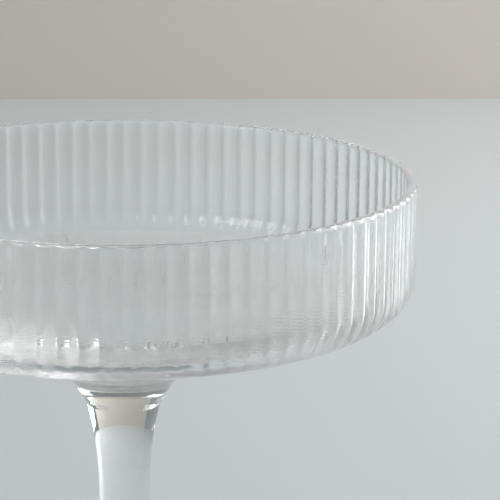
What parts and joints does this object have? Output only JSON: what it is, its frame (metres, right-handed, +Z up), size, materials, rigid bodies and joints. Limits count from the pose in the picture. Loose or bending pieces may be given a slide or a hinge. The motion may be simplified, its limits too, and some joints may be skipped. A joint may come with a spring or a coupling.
{
  "type": "coupe glass",
  "caption": "Clear stemmed coupe glass: a wide, shallow bowl with fine upright reeds outside and a plain lip, on a slim stem and a round foot.",
  "frame": {"origin": "centre of the circle that the foot stands on, at table level", "axes": "+Z up along the stem's axis; +X and +Y are alike, because the glass is round"},
  "size_m": [0.106, 0.106, 0.135],
  "materials": {
    "clear_glass": "fire-polished, clear and colourless"
  },
  "bodies": {
    "root": {"bowl": "clear_glass", "collar": "clear_glass", "stem": "clear_glass", "foot": "clear_glass"}
  },
  "joints": []
}
